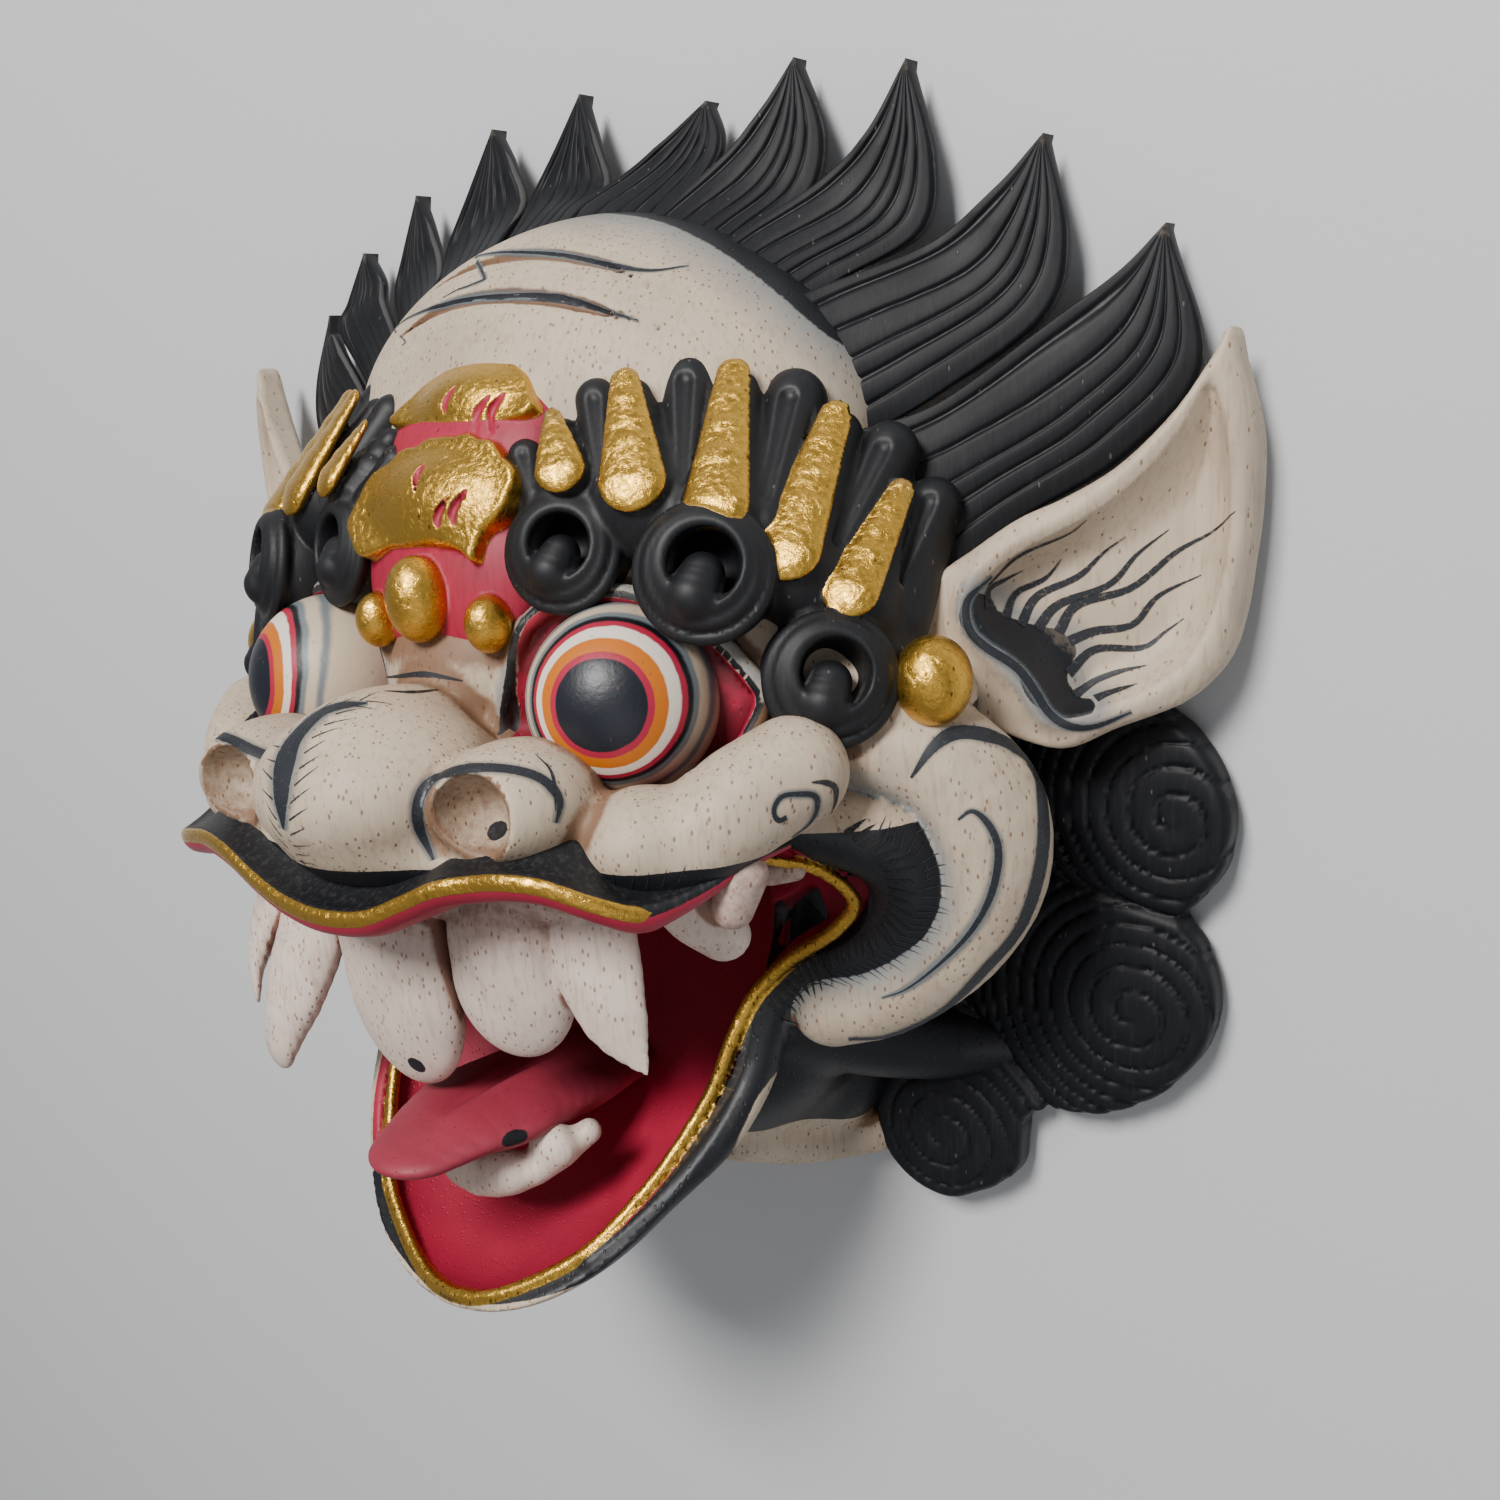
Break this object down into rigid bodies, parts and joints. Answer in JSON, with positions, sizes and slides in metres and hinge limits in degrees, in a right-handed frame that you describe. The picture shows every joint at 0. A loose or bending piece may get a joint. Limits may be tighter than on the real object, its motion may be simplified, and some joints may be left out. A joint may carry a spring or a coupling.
{
  "type": "barong mask",
  "caption": "Carved and painted wooden beast mask with a gaping mouth, bulging eyes, gilded brows, pointed ears, flame hair and a curled beard, hollow behind.",
  "frame": {"origin": "centre of the bounding box's underside, on the plane of the flat back, with the mask lying face up", "axes": "+X to the viewer's right across the face, +Y from the jaw to the hair, +Z out of the face"},
  "size_m": [0.31, 0.2892, 0.1456],
  "materials": {
    "ivory_paint": "ivory paint on carved wood, rubbed brown in the creases",
    "black_paint": "dusty blue-black paint on carved wood",
    "red_paint": "crimson paint on carved wood",
    "gold_leaf": "crinkled gold leaf, a little worn",
    "tongue_paint": "pink paint on carved wood",
    "tooth_paint": "pinkish ivory paint over open pores",
    "steel": "dull steel wire"
  },
  "bodies": {
    "root": {"head": "ivory_paint", "ear_right": "ivory_paint", "ear_left": "ivory_paint", "upper_teeth": "tooth_paint", "lower_teeth": "tooth_paint", "tongue": "tongue_paint", "hanging_eye": "steel"}
  },
  "joints": []
}
